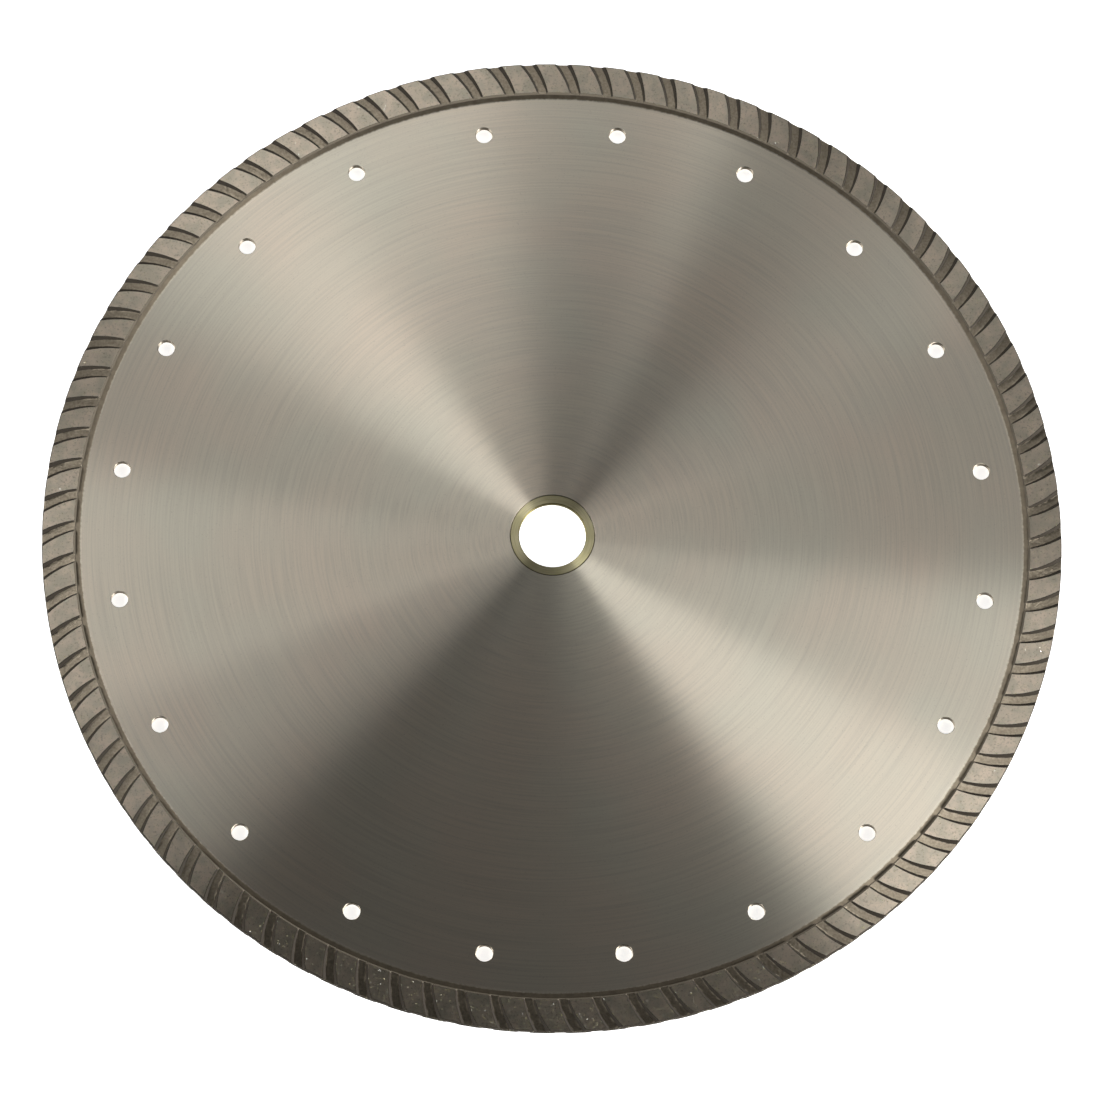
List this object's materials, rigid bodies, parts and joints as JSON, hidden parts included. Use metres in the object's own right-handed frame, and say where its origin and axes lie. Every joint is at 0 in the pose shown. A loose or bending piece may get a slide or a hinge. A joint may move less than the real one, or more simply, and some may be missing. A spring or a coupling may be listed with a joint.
{
  "type": "diamond blade",
  "caption": "Flat continuous turbo-rim diamond saw blade: steel core with small holes near the edge, thicker sintered rim with curved slanted grooves, and a push-out arbor reducing bush.",
  "frame": {"origin": "centre of the arbor bore at mid-thickness, which is also the centre of the whole blade", "axes": "+Z along the spindle axis, out of the upper face; +X points 8 degrees short of one of the small holes"},
  "size_m": [0.3048, 0.3048, 0.0032],
  "materials": {
    "core_steel": "spin-ground satin",
    "sintered_rim": "ground pads, rough unground grooves",
    "bush_metal": "satin, yellowish"
  },
  "bodies": {
    "blade": {"steel_core": "core_steel", "diamond_rim": "sintered_rim"},
    "bush": {"arbor_bush": "bush_metal"}
  },
  "joints": [
    {"name": "bush_slide", "type": "slide", "parent": "blade", "child": "bush", "axis": [0, 0, 1], "range_m": [0, 0.01]}
  ]
}
